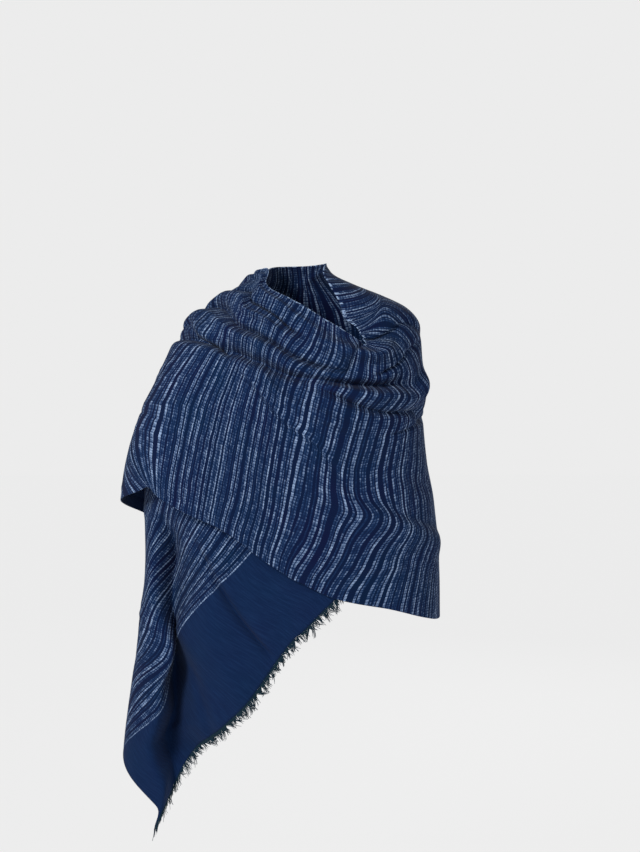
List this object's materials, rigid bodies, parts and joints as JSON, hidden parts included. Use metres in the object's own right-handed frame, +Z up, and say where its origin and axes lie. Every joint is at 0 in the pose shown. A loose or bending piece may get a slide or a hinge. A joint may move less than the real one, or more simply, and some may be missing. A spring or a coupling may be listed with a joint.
{
  "type": "stole",
  "caption": "Long rectangular striped stole with fringed ends, worn wrapped round both shoulders with one end thrown back and the other hanging at the front.",
  "frame": {"origin": "middle of the wearer's neck at the height where the shoulders begin, where the stole is held up", "axes": "+Z up, -Y to the wearer's front, +X to the wearer's left"},
  "size_m": [0.5621, 0.3086, 0.9952],
  "materials": {
    "striped_cloth": "matt plain-weave cotton or wool, navy with fine pale blue stripes along the weft and a plain navy band at each end",
    "fringe_yarn": "loose navy yarn ends"
  },
  "bodies": {
    "root": {"front_tail": "striped_cloth", "back_wrap": "striped_cloth", "left_shoulder_wrap": "striped_cloth", "front_wrap": "striped_cloth", "right_shoulder_end": "striped_cloth", "front_fringe": "fringe_yarn", "back_fringe": "fringe_yarn"}
  },
  "joints": []
}
